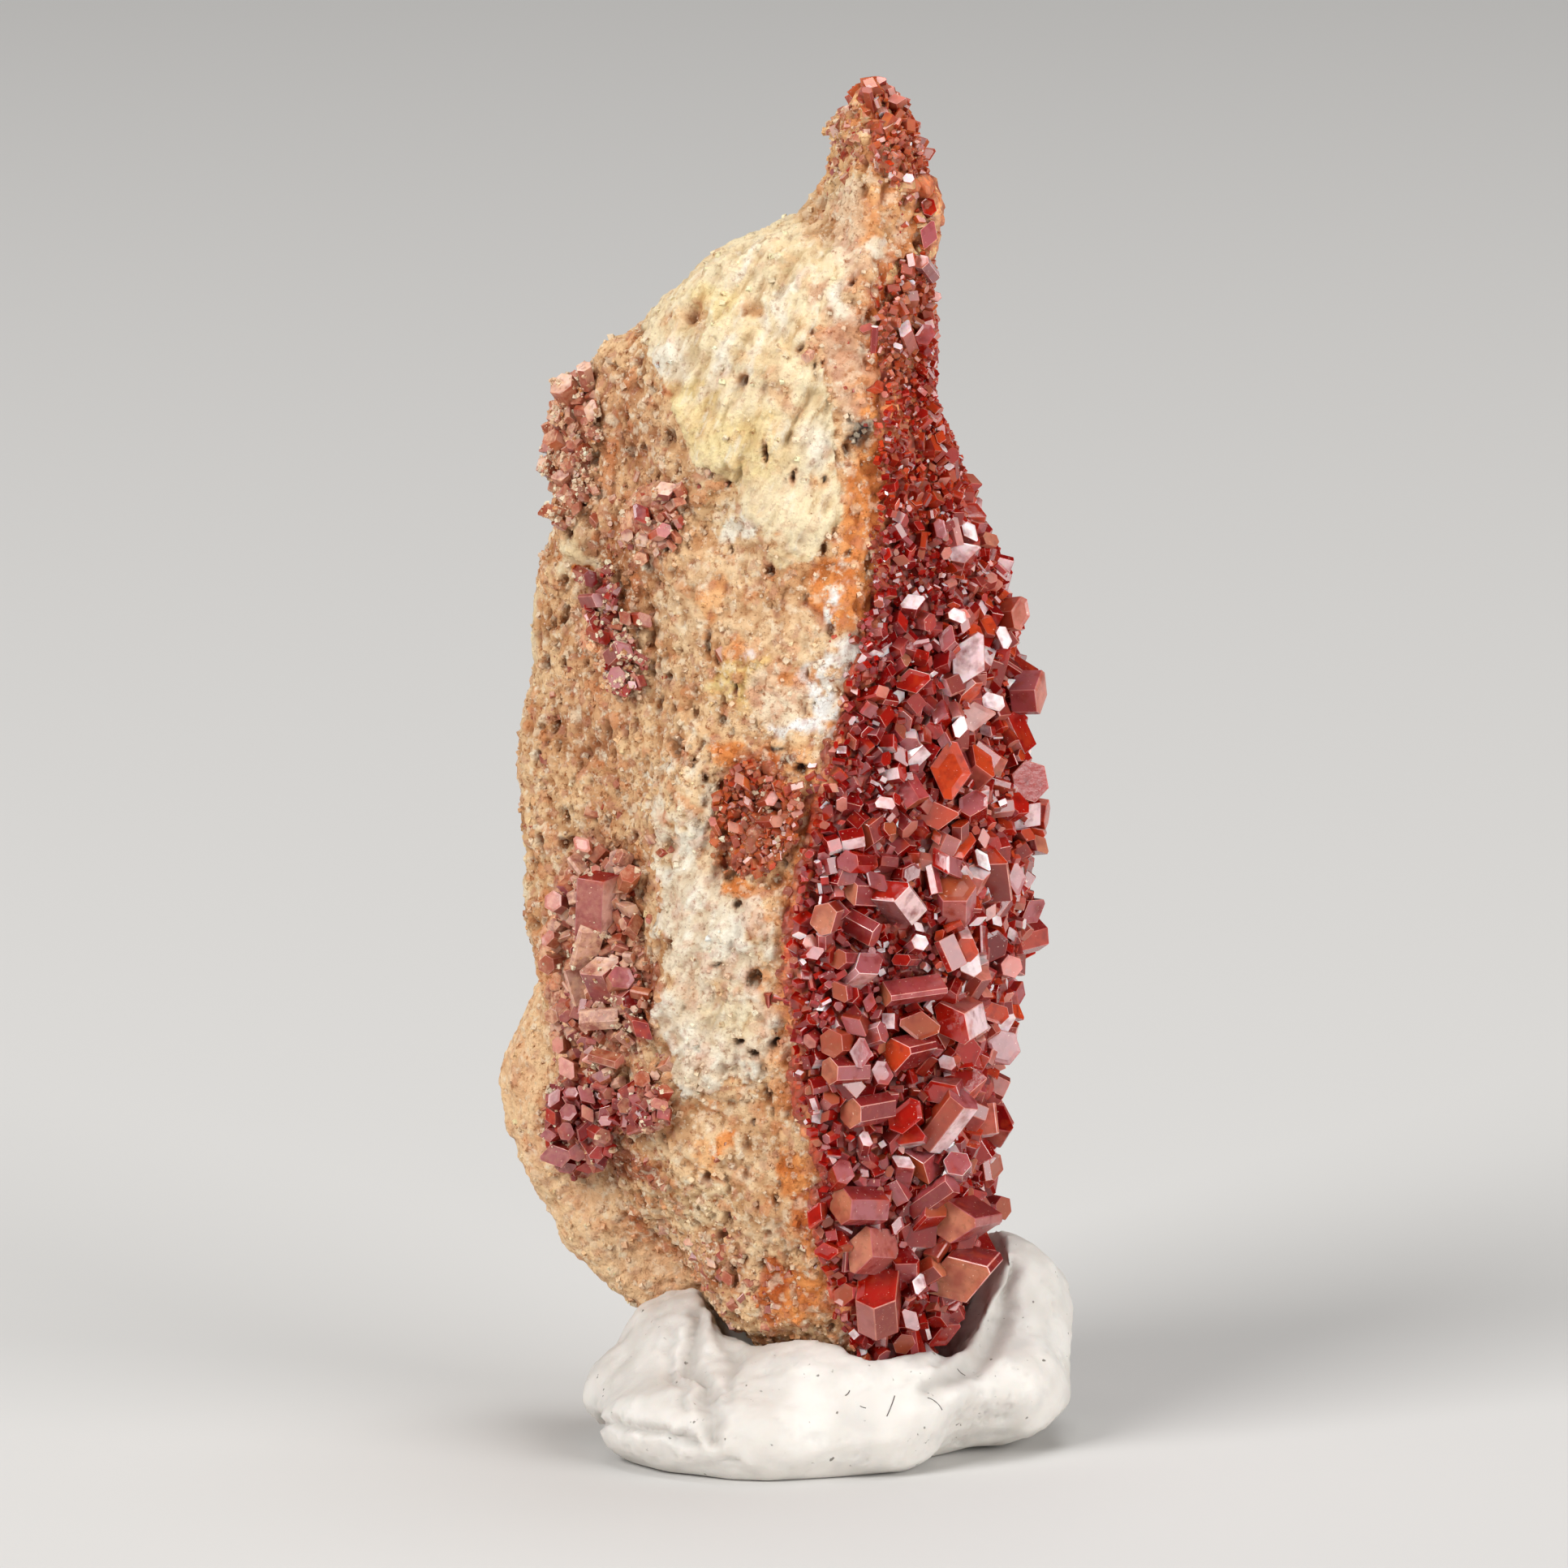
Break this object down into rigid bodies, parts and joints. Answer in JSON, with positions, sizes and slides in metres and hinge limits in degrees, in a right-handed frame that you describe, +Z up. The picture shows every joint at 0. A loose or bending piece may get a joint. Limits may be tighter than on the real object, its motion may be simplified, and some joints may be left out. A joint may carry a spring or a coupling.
{
  "type": "mineral specimen",
  "caption": "Tall splinter of pale rock crusted down one side with red hexagonal crystals, its foot held in a wad of white mineral tack.",
  "frame": {"origin": "middle of the flat underside of the wad of tack", "axes": "+Z up the splinter, -Y out of the broken front face, +X towards the crystal-crusted side"},
  "size_m": [0.0278, 0.0218, 0.0659],
  "materials": {
    "pale_matrix": "rough, broken rock",
    "vanadinite": "glossy resinous crystal faces",
    "white_tack": "matt kneaded putty"
  },
  "bodies": {
    "root": {"matrix_rock": "pale_matrix", "vanadinite_main_druse": "vanadinite", "vanadinite_left_group": "vanadinite", "vanadinite_shoulder_group": "vanadinite", "vanadinite_recess_group": "vanadinite", "vanadinite_upper_group": "vanadinite", "vanadinite_pocket_druse": "vanadinite", "mineral_tack": "white_tack"}
  },
  "joints": []
}
